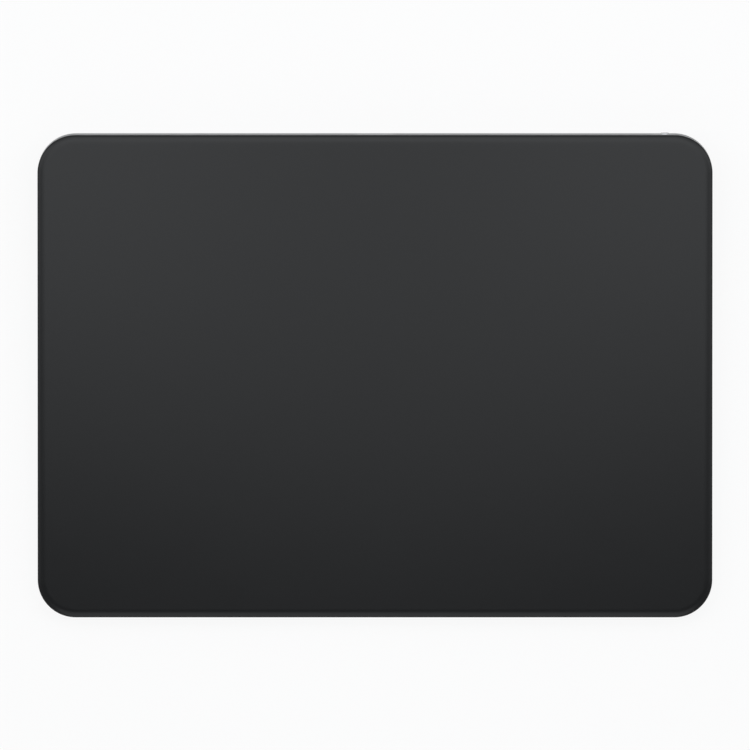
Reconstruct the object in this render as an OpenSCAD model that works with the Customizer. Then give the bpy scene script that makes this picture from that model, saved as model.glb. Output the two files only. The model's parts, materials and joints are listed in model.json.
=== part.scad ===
// Wedge-shaped desk trackpad. A glass plate floats on four force legs and is
// nudged sideways by a haptic engine, inside a machined metal enclosure whose
// bottom cover is glued on. Sizes are in millimetres. +X is right, +Y is the
// rear, +Z is up, and the rubber feet stand on z = 0.

/* [Body] */
// Width, left to right
body_w = 160; // [152:1:190]
// Depth on the desk, front to rear
body_d = 114.9; // [108:0.1:130]
// Height of the glass plane at the front edge
front_h = 4.9; // [4.7:0.1:5.6]
// Height of the glass plane at the rear edge
rear_h = 10.9; // [10.2:0.1:12.5]
// Corner radius in plan
corner_r = 9; // [7:0.5:12]

/* [Enclosure] */
// Thickness of the walls
wall = 1.6; // [1.4:0.1:2]
// Thickness of the web that carries the inner pieces
web_t = 0.9; // [0.8:0.05:1]
// Gap between the glass and the top of the walls
rim_gap = 0.35; // [0.35:0.05:0.5]
// Bevel along the bottom edge
base_bevel = 0.5; // [0.3:0.1:0.8]
// Bevel that breaks the other metal edges
edge_break = 0.12; // [0.08:0.01:0.15]
// Thickness of the fence round the battery
fence_t = 0.8; // [0.6:0.1:1.2]
// Height of the fence round the battery
fence_h = 1.4; // [1:0.1:2]
// Depth of the groove that takes the haptic flex under the battery
groove_t = 0.25; // [0.2:0.05:0.35]

/* [Underside] */
// Thickness of the bottom cover
cover_t = 0.65; // [0.55:0.05:0.8]
// Border of the enclosure that shows round the bottom cover
cover_border = 2.4; // [2:0.1:4]
// Gap round the bottom cover
cover_gap = 0.15; // [0.1:0.05:0.3]
// Thickness of the adhesive under the web
adhesive_t = 0.1; // [0.08:0.01:0.15]
// Width of the adhesive frame
adhesive_w = 3; // [2:0.5:5]
// How far the feet stand out of the bottom cover
foot_proud = 0.6; // [0.5:0.05:0.75]
// How deep the feet are seated in the bottom cover
foot_seat = 0.3; // [0.2:0.05:0.4]
// Radius of a foot
foot_r = 5; // [4:0.5:7]
// Rounding of a foot's lower edge
foot_round = 0.4; // [0.2:0.05:0.45]
// Distance of the feet from the left and right sides
foot_inset_x = 16; // [12:1:24]
// Distance of the feet from the front and rear sides
foot_inset_y = 13; // [11:1:20]

/* [Touch plate] */
// Thickness of the cover glass
glass_t = 1; // [0.9:0.05:1.1]
// Width of the rounded band along the glass edge
edge_run = 2; // [1:0.1:3]
// Drop of the rounded band at the very edge
edge_drop = 0.55; // [0.3:0.05:0.7]
// Chamfer under the glass edge
edge_chamfer = 0.15; // [0.1:0.05:0.25]
// Thickness of the touch sensor board
sensor_t = 0.5; // [0.4:0.05:0.55]
// Distance of the sensor board from the glass edge
sensor_inset = 3.2; // [2.6:0.1:5]
// Thickness of the stiffener plate
plate_t = 0.8; // [0.7:0.05:0.85]
// Distance of the stiffener plate from the glass edge
plate_inset = 4.5; // [4:0.1:6]
// Width of the two touch controllers under the sensor board
chip_w = 7; // [5:0.5:9]
// Thickness of the touch controllers
chip_t = 0.6; // [0.4:0.05:0.65]
// Distance of the touch controllers from the middle
chip_x = 36; // [30:1:44]
// Room round each touch controller in the stiffener plate
chip_room = 0.8; // [0.5:0.1:1.5]
// Travel of the glass when it is pressed
press_travel = 0.25; // [0.1:0.05:0.25]
// Sideways throw of the haptic click, to each side
shift_travel = 0.15; // [0.05:0.05:0.2]

/* [Force legs] */
// Thickness of the spring steel
leg_t = 0.35; // [0.3:0.05:0.45]
// Distance from the screw to the middle of the gel pad
leg_len = 11; // [9:0.5:13]
// Distance of the leg screws from the left and right sides
leg_inset = 10; // [9:0.5:13]
// Width of the pad end
leg_pad_w = 9; // [7:0.5:10]
// Length of the pad end
leg_pad_l = 7; // [5:0.5:8]
// Width of the bending neck
leg_neck_w = 4; // [3:0.25:5]
// Radius of the screwed end
leg_eye_r = 3.2; // [2.8:0.1:3.6]
// Fillet between the neck and the pad end
leg_fillet = 1; // [0.5:0.1:1]
// Height of the front leg bosses above the web
leg_boss_h = 0.5; // [0.45:0.05:0.7]
// Length of the threaded collar under the screwed end
leg_collar_h = 0.4; // [0.3:0.05:0.45]
// Wall of the threaded collar
leg_collar_wall = 0.5; // [0.4:0.05:0.6]
// Thickness of the gel pads
gel_t = 0.4; // [0.35:0.05:0.45]
// Margin of the gel pads inside the pad end
gel_margin = 0.75; // [0.5:0.25:1]
// Thickness of the strain gauges
gauge_t = 0.08; // [0.05:0.01:0.1]
// Width of the strain gauges
gauge_w = 2.8; // [2:0.1:3]
// Length of the strain gauges
gauge_l = 2; // [1.5:0.25:2.5]

/* [Haptic engine] */
// Length of the core, left to right
core_l = 40; // [30:1:56]
// Depth of the engine, front to rear
haptic_d = 12.5; // [10:0.5:15]
// Thickness of the mounting bracket
bracket_t = 0.4; // [0.3:0.05:0.5]
// Length of the screw ears beyond the core
bracket_ear = 7; // [6.5:0.5:10]
// Depth of the bracket's rear lip, where the haptic flex starts
bracket_lip = 2.4; // [2:0.1:3]
// Length of each coil
coil_l = 13; // [9:0.5:13]
// Thickness of the winding
coil_wall = 0.5; // [0.4:0.05:0.55]
// Thickness of each pole of the core
pole_t = 3; // [2:0.5:4]
// Thickness of the attraction plates
attract_t = 1.2; // [1:0.1:1.6]
// Length of the flange that fastens each attraction plate
attract_flange = 4; // [3:0.5:6]
// Thickness of that flange
attract_flange_t = 0.5; // [0.4:0.05:0.6]
// Air gap between the core and each attraction plate
attract_gap = 0.4; // [0.35:0.05:0.6]
// Gap between the engine and the battery fence
haptic_gap = 1.2; // [0.8:0.1:3]

/* [Battery] */
// Width of the cell
battery_w = 100; // [80:1:104]
// Depth of the cell, with its terrace
battery_d = 34; // [28:0.5:40]
// Corner radius of the pouch
battery_r = 2; // [1.5:0.25:3]
// Rounding of the pouch edges
battery_round = 0.6; // [0.4:0.1:0.8]
// Depth of the terrace where the tabs come out
terrace_d = 3.6; // [3:0.1:5]
// Thickness of the terrace
terrace_t = 1; // [0.8:0.05:1.2]
// Gap between the cell and the logic board
battery_gap = 2.8; // [2.4:0.1:4]
// Gap between the cell and its fence
fence_gap = 0.5; // [0.3:0.1:1]
// Thickness of the battery tape
tape_t = 0.15; // [0.1:0.01:0.2]
// Width of each strip of battery tape
tape_w = 12; // [8:1:16]
// Width of the protection board
guard_w = 32; // [24:1:40]
// Depth of the protection board
guard_d = 2.8; // [2:0.1:2.9]
// Thickness of the protection board
guard_t = 0.6; // [0.5:0.05:0.8]
// Width of the battery lead
lead_w = 5; // [3:0.5:7]

/* [Logic board] */
// Width of the board
board_w = 84; // [76:1:92]
// Depth of the board
board_d = 11.5; // [11:0.1:13]
// Thickness of the board
board_t = 0.8; // [0.6:0.05:0.9]
// Gap between the board and the rear wall
board_gap = 0.35; // [0.3:0.05:0.6]
// Distance of the end screws from the board's ends
board_screw_inset = 3; // [2.5:0.25:4]
// Radius of the standoffs under the boards
post_r = 1.8; // [1.6:0.1:2]
// Width of the shield cans
shield_w = 14; // [10:0.5:15]
// Depth of the shield cans
shield_d = 8; // [6:0.5:9]
// Height of the shield cans
shield_h = 1.4; // [1:0.1:1.8]
// Sheet thickness of the shield cans
shield_t = 0.2; // [0.15:0.05:0.3]
// Distance of the shield cans from the middle
shield_x = 26; // [25:0.5:28]
// Radius of the vent holes in the shield cans
vent_r = 0.5; // [0.3:0.05:0.6]
// Vent holes along each shield can
vent_n = 4; // [2:1:5]
// Depth of the connectors
link_d = 2.4; // [2:0.1:2.8]
// Height of the connectors
link_h = 0.9; // [0.7:0.05:1.1]
// Distance of the connectors from the board's front edge
link_inset = 1.6; // [1.5:0.1:2]
// Distance of the battery and haptic connectors from the middle
link_x = 14; // [13:0.5:15]
// Thickness of the flexible circuits
flex_t = 0.12; // [0.08:0.01:0.15]
// Bend radius of the flexible circuits
flex_bend = 0.7; // [0.5:0.1:0.9]
// Length of the flexible circuits on the pieces that they join
flex_lead = 2.4; // [2:0.1:3]
// Width of the sensor flex
sensor_flex_w = 12; // [8:1:14]
// Width of the haptic flex
haptic_flex_w = 4.5; // [3:0.5:5]
// Width of the force sensor flex
force_flex_w = 2; // [1.5:0.25:2.5]

/* [Charge port] */
// Depth of the port's middle below the glass plane
port_drop = 5.1; // [4.8:0.1:5.3]
// Width of the mouth
port_w = 8.34; // [7:0.01:9]
// Height of the mouth
port_h = 2.56; // [2.2:0.01:2.8]
// Sheet thickness of the port shell
port_wall = 0.3; // [0.2:0.05:0.4]
// Length of the port shell
port_l = 7.2; // [6.5:0.1:8]
// How far the shell lies inside the wall's outer face
port_recess = 0.3; // [0.1:0.1:0.6]
// Gap between the shell and the wall
port_gap = 0.1; // [0.05:0.05:0.2]
// Width of the tongue
tongue_w = 6.7; // [6.2:0.1:6.9]
// Thickness of the tongue
tongue_t = 0.7; // [0.6:0.05:0.8]
// Length of the tongue
tongue_l = 4.6; // [4:0.1:5]
// Bevel at the tip of the tongue
tongue_bevel = 0.2; // [0.1:0.05:0.25]
// Contacts on each side of the tongue
contact_n = 12; // [6:1:12]
// Spacing of the contacts
contact_pitch = 0.5; // [0.4:0.05:0.55]
// Width of a contact
contact_w = 0.25; // [0.2:0.05:0.3]
// Thickness of a contact above the tongue
contact_t = 0.05; // [0.04:0.01:0.08]
// Sheet thickness of the port bracket
strap_t = 0.3; // [0.2:0.05:0.4]
// Width of the port bracket's strap
strap_l = 3; // [2.5:0.1:3.4]
// Length of the port bracket's ears
strap_ear = 3.4; // [3:0.1:4]

/* [Power switch] */
// Distance of the resting knob from the right side
knob_inset = 11.3; // [10.8:0.1:14]
// Width of the knob
knob_w = 2.1; // [1.8:0.1:2.6]
// Height of the knob
knob_h = 1.4; // [1.2:0.1:1.6]
// How far the knob stands out of the wall
knob_proud = 0.35; // [0.2:0.05:0.5]
// Rounding of the knob's outer edge
knob_round = 0.3; // [0.1:0.05:0.35]
// Travel of the knob
knob_travel = 2; // [1.5:0.1:2.4]
// Gap between the knob and its slot
knob_gap = 0.1; // [0.05:0.05:0.15]
// Width of the stem
stem_w = 1; // [0.8:0.1:1.2]
// Height of the stem
stem_h = 0.6; // [0.5:0.05:0.7]
// Thickness of the plate behind the slot
shutter_t = 0.3; // [0.2:0.05:0.4]
// Margin of that plate round the slot
shutter_margin = 0.6; // [0.4:0.1:0.8]
// Thickness of the coloured patch on that plate
patch_t = 0.05; // [0.03:0.01:0.08]
// Length of the slider behind the plate
slider_w = 3; // [2.6:0.1:3.4]
// Thickness of the slider
slider_t = 0.8; // [0.6:0.05:1]
// Width of the slider's nub
nub_w = 1.2; // [1:0.1:1.4]
// Height of the slider's nub
nub_h = 0.7; // [0.6:0.05:0.9]
// Length of the slider's nub
nub_l = 1; // [0.8:0.1:1.2]
// Width of the switch body
switch_w = 8; // [7:0.1:8.4]
// Depth of the switch body
switch_d = 2.8; // [2.4:0.1:3.2]
// Wall of the switch body round the nub
switch_wall = 0.4; // [0.3:0.05:0.5]
// Width of the switch board
switch_board_w = 13.4; // [12.6:0.1:13.6]
// Depth of the switch board
switch_board_d = 3.8; // [3.4:0.1:4.4]
// Width of the flex between the two boards
switch_flex_w = 2.4; // [1.5:0.1:2.8]

/* [Antenna] */
// Distance of the carrier from the left side
antenna_inset = 12; // [10.5:0.5:14]
// Length of the carrier
antenna_w = 20; // [14:1:22]
// Depth of the carrier
antenna_d = 4.4; // [3.5:0.1:5]
// Wall of the carrier
antenna_wall = 0.8; // [0.6:0.1:1]
// Thickness of the antenna trace
trace_t = 0.1; // [0.05:0.01:0.15]
// Width of the antenna trace
trace_w = 0.6; // [0.4:0.1:0.8]
// Turns of the antenna trace
trace_turns = 5; // [3:1:5]
// Radius of the antenna cable
cable_r = 0.4; // [0.3:0.05:0.5]

/* [Fasteners and fits] */
// Radius of the screws
screw_r = 0.6; // [0.5:0.05:0.7]
// Radius of the screw heads
head_r = 1.15; // [1:0.05:1.25]
// Height of the screw heads
head_h = 0.4; // [0.3:0.05:0.45]
// Length of the screws in what they hold
screw_bite = 0.75; // [0.6:0.05:0.8]
// Room left at the end of a screw
screw_room = 0.1; // [0.05:0.01:0.12]
// Gap round a screw
screw_gap = 0.05; // [0.03:0.01:0.08]
// Gap between fixed pieces that slip into each other
slip = 0.05; // [0.03:0.01:0.08]
// Gap between sliding pieces
slide_gap = 0.12; // [0.08:0.01:0.15]
// Air kept between the pressed plate and the pieces under it
air = 0.3; // [0.2:0.05:0.35]

/* [Hidden] */
$fn = 48;

// Points on each rounded glass edge and on each bend of a flex
edge_steps = 8;
bend_steps = 6;
// Sides of the vent holes
vent_sides = 16;

// The wedge: the walls are square to the glass, so the rear wall leans out
rise = rear_h - front_h;
lean = rear_h - foot_proud;
slope = (body_d - sqrt(body_d * body_d - 4 * lean * rise)) / (2 * lean);
tilt = atan(slope);
glass_run = rise / slope;
glass_d = glass_run / cos(tilt);
glass_y = (glass_run - body_d) / 2;
mid_h = (front_h + rear_h) / 2;
deep = 2 * rear_h;

// Outline of the underside
base_front = (front_h - foot_proud) * slope - body_d / 2;
base_d = body_d / 2 - base_front;
base_y = (body_d / 2 + base_front) / 2;

// Levels above the desk, and the depth of the touch plate's layers
cover_top = foot_proud + cover_t;
web_bottom = cover_top + adhesive_t;
web_top = web_bottom + web_t;
stack_t = glass_t + sensor_t + plate_t;

// Height at plan position y of the plane that lies s below the glass plane
function under_glass(y, s) = mid_h + (y - glass_y) * slope - s / cos(tilt);
// Highest level for a fixed piece at plan position y
function ceiling(y) = under_glass(y, stack_t + press_travel + air);
// Plan position and height of a point on the slope
function plan_y(v, w) = glass_y + v * cos(tilt) - w * sin(tilt);
function plan_z(v, w) = mid_h + v * sin(tilt) + w * cos(tilt);
// Where the slope's normal through v reaches height z
function normal_w(v, z) = (z - mid_h - v * sin(tilt)) / cos(tilt);

// Force legs: the boss height of the front pair sets their place
leg_drop = stack_t + gel_t + leg_t;
leg_v = (mid_h - leg_drop * cos(tilt) - web_top - leg_boss_h) / sin(tilt);
leg_x = body_w / 2 - leg_inset;
pad_x = leg_x - leg_len;
collar_r = screw_r + screw_gap + leg_collar_wall;
head_lift = screw_room + head_r * slope;

// Rear row: the boards hang on the rear wall
rear_v = glass_d / 2;
shell_w = port_w + 2 * port_wall;
shell_h = port_h + 2 * port_wall;
board_drop = port_drop + shell_h / 2;
board_rear = rear_v - wall - board_gap;
board_front = board_rear - board_d;
board_v = (board_rear + board_front) / 2;
board_screw_x = board_w / 2 - board_screw_inset;
link_v = board_front + link_inset;
strap_depth = wall + board_gap + head_r;
port_screw_x = shell_w / 2 + strap_t + strap_ear / 2;
port_screw_v = rear_v - strap_depth - strap_l / 2;
port_back = port_recess + port_l;

// Power switch: depths count inwards from the outer face of the rear wall
knob_x = body_w / 2 - knob_inset;
slot_x = knob_x - knob_travel / 2;
slot_w = knob_w + knob_travel + 2 * knob_gap;
slot_h = knob_h + 2 * knob_gap;
slider_depth = wall + shutter_t + slide_gap;
switch_depth = slider_depth + slider_t + slide_gap;
switch_h = 2 * (board_drop - port_drop);
switch_screw_x = switch_board_w / 2 - head_r - screw_gap;
switch_v = rear_v - switch_depth - switch_board_d / 2;

// Battery and haptic engine lie in front of the boards, on the web
battery_rear = plan_y(board_front, -board_drop) - battery_gap;
battery_front = battery_rear - battery_d;
battery_y = (battery_rear + battery_front) / 2;
battery_bed = web_top + tape_t;
battery_t = ceiling(battery_front) - battery_bed;
guard_y = battery_rear - terrace_d / 2;
haptic_rear = battery_front - fence_gap - fence_t - haptic_gap - bracket_lip;
haptic_front = haptic_rear - haptic_d;
haptic_y = (haptic_rear + haptic_front) / 2;
haptic_bed = web_top + bracket_t;
haptic_h = ceiling(haptic_front) - haptic_bed;
core_mid = haptic_bed + haptic_h / 2;
bar_h = haptic_h - 2 * (coil_wall + slip);
bar_d = haptic_d - 2 * (coil_wall + slip);
coil_x = pole_t / 2 + slip + coil_l / 2;
haptic_screw_x = core_l / 2 + bracket_ear - head_r - screw_gap;
haptic_screw_y = haptic_d / 2 - head_r - screw_gap;
attract_x = core_l / 2 + attract_gap;
attract_h = under_glass(haptic_front, stack_t) - haptic_bed - press_travel - air;

// Flexible circuits
link_top = link_h - board_drop;
link_end = [
    plan_y(link_v + link_d / 2, link_top),
    plan_z(link_v + link_d / 2, link_top) + flex_t / 2
];
riser_y = plan_y(board_front, -board_drop) - battery_gap / 2;
sensor_riser = link_v - link_d / 2 - flex_bend;
force_flex_x = (leg_x - leg_eye_r + pad_x + leg_pad_l / 2) / 2;
force_flex_y = plan_y(board_front, -board_drop) + force_flex_w;

// Antenna
antenna_x = antenna_w / 2 + antenna_inset - body_w / 2;
antenna_v = board_rear - antenna_d / 2;
antenna_top = stack_t + press_travel + air + trace_t;
cable_v = antenna_v;

// Places

// Puts children on the glass plane: x across, y up the slope, z along its normal
module on_slope() {
    translate([0, glass_y, mid_h])
        rotate([tilt, 0, 0])
            children();
}

// Puts children on the top face of the boards
module on_board(x, v) {
    on_slope()
        translate([x, v, -board_drop])
            children();
}

// Puts children on the outer face of the rear wall: z points inwards, y up
module on_rear(x, drop) {
    on_slope()
        translate([x, rear_v, -drop])
            rotate([90, 0, 0])
                children();
}

module both_sides() {
    children();
    mirror([1, 0, 0])
        children();
}

// Places of the four legs, seen on the slope
module at_legs() {
    for (side = [-1, 1], end = [-1, 1])
        translate([side * leg_x, end * leg_v, 0])
            children();
}

// Places of the board standoffs, seen on the slope
module at_posts() {
    for (side = [-1, 1]) {
        translate([side * board_screw_x, board_v, 0])
            children();
        translate([side * port_screw_x, port_screw_v, 0])
            children();
        translate([slot_x + side * switch_screw_x, switch_v, 0])
            children();
    }
}

module at_haptic_screws() {
    for (side = [-1, 1], end = [-1, 1])
        translate([side * haptic_screw_x, haptic_y + end * haptic_screw_y, 0])
            children();
}

// Shapes

module rounded(w, d, r) {
    square([w - 2 * r, d], center = true);
    square([w, d - 2 * r], center = true);
    for (x = [-1, 1], y = [-1, 1])
        translate([x * (w / 2 - r), y * (d / 2 - r)])
            circle(r);
}

module pill(w, h) {
    square([w - h, h], center = true);
    for (x = [-1, 1])
        translate([x * (w - h) / 2, 0])
            circle(h / 2);
}

module plate(w, d, r, t) {
    linear_extrude(t)
        rounded(w, d, r);
}

// Block on z = 0, centred in x and y
module block(w, d, h) {
    translate([-w / 2, -d / 2, 0])
        cube([w, d, h]);
}

// Quarter round at the lower edge of a section, as points for swept()
function rounded_edge(r) = [
    for (i = [0 : bend_steps])
        let (a = 90 * i / bend_steps)
            r * [1 - sin(a), 1 - cos(a)]
];

// Rounded rectangle whose edge has a section of its own. Each point of edge is
// [distance inside the outline, height], from the bottom to the top. With r at
// half of d it is a pill.
module swept(w, d, r, edge) {
    last = len(edge) - 1;
    function right(reach) = [for (p = edge) [reach - p.x, p.y]];
    function left(reach) = [for (i = [last : -1 : 0]) [edge[i].x - reach, edge[i].y]];
    function half(reach) = concat([[0, edge[0].y]], right(reach), [[0, edge[last].y]]);
    if (d > 2 * r)
        rotate([90, 0, 0])
            linear_extrude(d - 2 * r, center = true)
                polygon(concat(right(w / 2), left(w / 2)));
    rotate([90, 0, 90])
        linear_extrude(w - 2 * r, center = true)
            polygon(concat(right(d / 2), left(d / 2)));
    for (x = [0, 1], y = [0, 1])
        mirror([x, 0, 0])
            mirror([0, y, 0])
                translate([w / 2 - r, d / 2 - r, 0])
                    rotate_extrude(angle = 90)
                        polygon(half(r));
}

// Cutter that bevels the edge of an opening in the face z = 0
module flare(w, d, r) {
    reach = 2 * edge_break;
    translate([0, 0, -edge_break])
        swept(w + 2 * reach, d + 2 * reach, r + reach, [[0, 0], [reach, reach]]);
}

// Screw with the underside of its head on z = 0
module screw(shank) {
    rotate_extrude()
        polygon([
            [0, -shank], [screw_r, -shank], [screw_r, 0],
            [head_r, 0], [head_r, head_h], [0, head_h]
        ]);
}

function arc(centre, r, from, to) = [
    for (i = [0 : bend_steps])
        let (a = from + (to - from) * i / bend_steps)
            centre + r * [cos(a), sin(a)]
];

// Path that steps from one level to another at x = riser, with two bends
function step_path(start, end, riser) =
    let (
        climb = end.y - start.y,
        way = sign(climb),
        r = min(flex_bend, abs(climb) / 3)
    )
    concat(
        [start],
        arc([riser - r, start.y + way * r], r, -way * 90, 0),
        arc([riser + r, end.y - way * r], r, 180, 180 - way * 90),
        [end]
    );

function path_normal(path, i) =
    let (
        run = path[min(i + 1, len(path) - 1)] - path[max(i - 1, 0)],
        along = run / norm(run)
    )
    [-along.y, along.x];

// Flexible circuit along a path in the y and z directions, centred in x
module ribbon(path, w) {
    last = len(path) - 1;
    upper = [for (i = [0 : last]) path[i] + path_normal(path, i) * flex_t / 2];
    lower = [for (i = [last : -1 : 0]) path[i] - path_normal(path, i) * flex_t / 2];
    rotate([90, 0, 90])
        linear_extrude(w, center = true)
            polygon(concat(upper, lower));
}

// Upright on the slope, with its foot inside the web
module upright() {
    intersection() {
        on_slope()
            children();
        translate([0, 0, web_top - web_t / 2])
            block(2 * body_w, 2 * body_d, deep);
    }
}

// Enclosure

module outer_body() {
    rim = glass_t + rim_gap;
    intersection() {
        on_slope()
            swept(body_w, glass_d, corner_r,
                [[0, -deep], [0, -rim - edge_break], [edge_break, -rim]]);
        translate([0, base_y, foot_proud])
            swept(body_w, base_d, corner_r, [[base_bevel, 0], [base_bevel - deep, deep]]);
    }
}

// Hollow of the enclosure, square to the glass down to the web
module cavity() {
    intersection() {
        on_slope()
            translate([0, 0, -deep])
                plate(body_w - 2 * wall, glass_d - 2 * wall, corner_r - wall, deep);
        translate([0, 0, web_top])
            block(2 * body_w, 2 * body_d, deep);
    }
}

// Pocket or plate on the underside, inset from the base outline
module underside(inset, low, high) {
    translate([0, base_y, low])
        plate(body_w - 2 * inset, base_d - 2 * inset, corner_r - inset, high - low);
}

module bosses() {
    upright()
        at_legs()
            translate([0, 0, -deep])
                cylinder(r = leg_eye_r, h = deep - leg_drop);
    upright()
        at_posts()
            translate([0, 0, -deep])
                cylinder(r = post_r, h = deep - board_drop - board_t);
}

// Low fence on three sides of the battery, open to the boards
module battery_fence() {
    reach = fence_gap + fence_t;
    translate([0, battery_y, web_top - web_t / 2])
        difference() {
            plate(battery_w + 2 * reach, battery_d + 2 * reach,
                battery_r + reach, fence_h + web_t / 2);
            plate(battery_w + 2 * fence_gap, battery_d + 2 * fence_gap,
                battery_r + fence_gap, deep);
            translate([0, battery_d / 2, 0])
                block(2 * body_w, 2 * (reach + battery_r), deep);
        }
}

module screw_bores() {
    on_slope() {
        at_legs() {
            translate([0, 0, -deep])
                cylinder(r = screw_r + screw_gap, h = deep);
            translate([0, 0, -leg_drop - leg_collar_h - slip])
                cylinder(r = collar_r + slip, h = deep);
        }
        for (side = [-1, 1], end = [-1, 1])
            translate([side * leg_x, end * leg_v, -deep])
                cylinder(r = head_r + screw_gap,
                    h = deep + normal_w(end * leg_v, web_bottom) + head_lift + head_h);
        at_posts()
            translate([0, 0, -board_drop - board_t - screw_bite - screw_room])
                cylinder(r = screw_r + screw_gap, h = deep);
    }
    at_haptic_screws()
        translate([0, 0, web_top - screw_bite - screw_room])
            cylinder(r = screw_r + screw_gap, h = deep);
}

// Bevelled opening through the rear wall
module rear_opening(x, w, h) {
    on_rear(x, port_drop) {
        translate([0, 0, -wall])
            linear_extrude(3 * wall)
                pill(w, h);
        flare(w, h, h / 2);
    }
}

// Bed of the bottom cover, with a bevelled edge
module cover_bed() {
    underside(cover_border, 0, web_bottom);
    translate([0, base_y, foot_proud])
        flare(body_w - 2 * cover_border, base_d - 2 * cover_border, corner_r - cover_border);
}

module flex_groove() {
    translate([-link_x, (haptic_rear + riser_y) / 2, web_top - groove_t])
        block(haptic_flex_w + 2 * fence_gap, riser_y - haptic_rear + 2 * battery_gap, deep);
}

module enclosure() {
    color("silver")
    difference() {
        union() {
            difference() {
                outer_body();
                cavity();
                cover_bed();
            }
            battery_fence();
            bosses();
        }
        screw_bores();
        rear_opening(0, shell_w + 2 * port_gap, shell_h + 2 * port_gap);
        rear_opening(slot_x, slot_w, slot_h);
        flex_groove();
    }
}

// Underside

module at_foot(x, y) {
    translate([
        x * (body_w / 2 - foot_inset_x),
        base_y + y * (base_d / 2 - foot_inset_y),
        0
    ])
        children();
}

module bottom_cover() {
    inset = cover_border + cover_gap;
    color("gainsboro")
    difference() {
        translate([0, base_y, foot_proud])
            swept(body_w - 2 * inset, base_d - 2 * inset, corner_r - inset,
                [[edge_break, 0], [0, edge_break], [0, cover_t]]);
        for (x = [-1, 1], y = [-1, 1])
            at_foot(x, y)
                cylinder(r = foot_r + slip, h = foot_proud + foot_seat);
    }
}

module cover_adhesive() {
    inset = cover_border + 2 * cover_gap;
    color("dimgray")
    difference() {
        underside(inset, cover_top, web_bottom);
        underside(inset + adhesive_w, 0, deep);
    }
}

module foot() {
    foot_h = foot_proud + foot_seat;
    rounding = [for (p = rounded_edge(foot_round)) [foot_r - p.x, p.y]];
    color("dimgray")
    rotate_extrude()
        polygon(concat([[0, 0]], rounding, [[foot_r, foot_h], [0, foot_h]]));
}

module foot_front_left() {
    at_foot(-1, -1)
        foot();
}

module foot_front_right() {
    at_foot(1, -1)
        foot();
}

module foot_rear_left() {
    at_foot(-1, 1)
        foot();
}

module foot_rear_right() {
    at_foot(1, 1)
        foot();
}

// Touch plate

module cover_glass() {
    rounding = [
        for (i = [0 : edge_steps])
            let (a = 90 * i / edge_steps)
                [edge_run * (1 - cos(a)), -edge_drop * (1 - sin(a))]
    ];
    color("black")
    on_slope()
        swept(body_w, glass_d, corner_r, concat(
            [[edge_chamfer, -glass_t], [0, edge_chamfer - glass_t]],
            rounding));
}

// Places of the touch controllers, seen on the slope
module at_chips() {
    for (side = [-1, 1])
        translate([side * chip_x, glass_d / 6, 0])
            children();
}

// Board with a touch controller on each half of its underside
module sensor_board() {
    color("darkgreen")
    on_slope()
        translate([0, 0, -glass_t - sensor_t]) {
            plate(body_w - 2 * sensor_inset, glass_d - 2 * sensor_inset,
                corner_r - sensor_inset, sensor_t);
            at_chips()
                translate([0, 0, -chip_t])
                    block(chip_w, chip_w, chip_t + sensor_t / 2);
        }
}

module stiffener_plate() {
    slot_d = flex_lead + 2 * flex_bend;
    color("lightgray")
    on_slope()
        translate([0, 0, -stack_t])
            difference() {
                plate(body_w - 2 * plate_inset, glass_d - 2 * plate_inset,
                    corner_r - plate_inset, plate_t);
                translate([0, sensor_riser - flex_lead / 2, -plate_t])
                    plate(sensor_flex_w + 2 * flex_bend, slot_d, flex_bend, 3 * plate_t);
                at_chips()
                    translate([0, 0, -plate_t])
                        plate(chip_w + 2 * chip_room, chip_w + 2 * chip_room,
                            chip_room, 3 * plate_t);
            }
}

module attraction_plate() {
    depth = haptic_d - 2 * air;
    translate([attract_x, 0, -stack_t]) {
        translate([0, -depth / 2, -attract_h])
            cube([attract_t, depth, attract_h]);
        translate([0, -depth / 2, -attract_flange_t])
            cube([attract_flange, depth, attract_flange_t]);
    }
}

module attraction_plates() {
    color("slategray")
    on_slope()
        translate([0, (haptic_y - glass_y) / cos(tilt), 0])
            both_sides()
                attraction_plate();
}

module gel_pads() {
    color("lightsteelblue")
    on_slope()
        for (side = [-1, 1], end = [-1, 1])
            translate([side * pad_x, end * leg_v, -stack_t - gel_t])
                plate(leg_pad_l - 2 * gel_margin, leg_pad_w - 2 * gel_margin, gel_margin, gel_t);
}

module sensor_flex() {
    color("darkorange")
    on_slope()
        ribbon(step_path(
            [sensor_riser - flex_lead, -glass_t - sensor_t - flex_t / 2],
            [link_v + link_d / 2, link_top + flex_t / 2],
            sensor_riser), sensor_flex_w);
}

// Force legs

// Eye, neck and pad end, with a fillet on each side of the neck
module leg_outline() {
    circle(leg_eye_r);
    translate([-leg_len / 2, 0])
        square([leg_len, leg_neck_w], center = true);
    translate([-leg_len, 0])
        rounded(leg_pad_l, leg_pad_w, gel_margin);
    for (y = [0, 1])
        mirror([0, y])
            translate([leg_pad_l / 2 - leg_len, leg_neck_w / 2])
                difference() {
                    translate([-leg_fillet / 2, -leg_fillet / 2])
                        square(3 / 2 * leg_fillet);
                    translate([leg_fillet, leg_fillet])
                        circle(leg_fillet);
                }
}

// Leg on the right side, from its screw at the origin
module force_leg(side, end) {
    color("slategray")
    on_slope()
        translate([side * leg_x, end * leg_v, -leg_drop])
            mirror([side < 0 ? 1 : 0, 0, 0])
                difference() {
                    union() {
                        linear_extrude(leg_t)
                            leg_outline();
                        translate([0, 0, -leg_collar_h])
                            cylinder(r = collar_r, h = leg_collar_h + leg_t);
                    }
                    translate([0, 0, -deep / 2])
                        cylinder(r = screw_r + screw_gap, h = deep);
                }
}

module force_leg_front_left() {
    force_leg(-1, -1);
}

module force_leg_front_right() {
    force_leg(1, -1);
}

module force_leg_rear_left() {
    force_leg(-1, 1);
}

module force_leg_rear_right() {
    force_leg(1, 1);
}

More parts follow.
